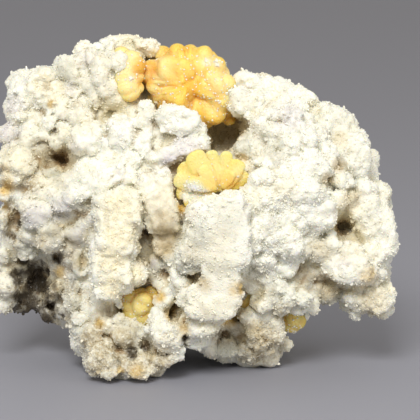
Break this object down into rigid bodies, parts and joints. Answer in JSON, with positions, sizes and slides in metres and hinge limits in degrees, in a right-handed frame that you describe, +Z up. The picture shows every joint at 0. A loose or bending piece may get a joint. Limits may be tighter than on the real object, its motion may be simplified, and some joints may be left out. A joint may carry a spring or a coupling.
{
  "type": "stellerite specimen",
  "caption": "Hand-sized mineral specimen: golden stellerite rosettes on a white, knobbly, sugary matrix that stands on flat feet.",
  "frame": {"origin": "on the standing surface, under the middle of the specimen's box", "axes": "+Z up; +X to the right and -Y towards the viewer when the side with the golden rosettes is in front"},
  "size_m": [0.0808, 0.0524, 0.0655],
  "materials": {
    "matrix": "sugary white druse with cream, grey-green and brown-stained zones",
    "stellerite": "translucent golden to amber crystal, pearly",
    "pale_stellerite": "translucent pale golden crystal, pearly"
  },
  "bodies": {
    "root": {"matrix": "matrix", "top_rosette": "stellerite", "upper_left_rosette": "pale_stellerite", "middle_fan": "pale_stellerite", "lower_left_rosette": "stellerite", "lower_right_rosette": "stellerite", "recess_rosette": "stellerite"}
  },
  "joints": []
}
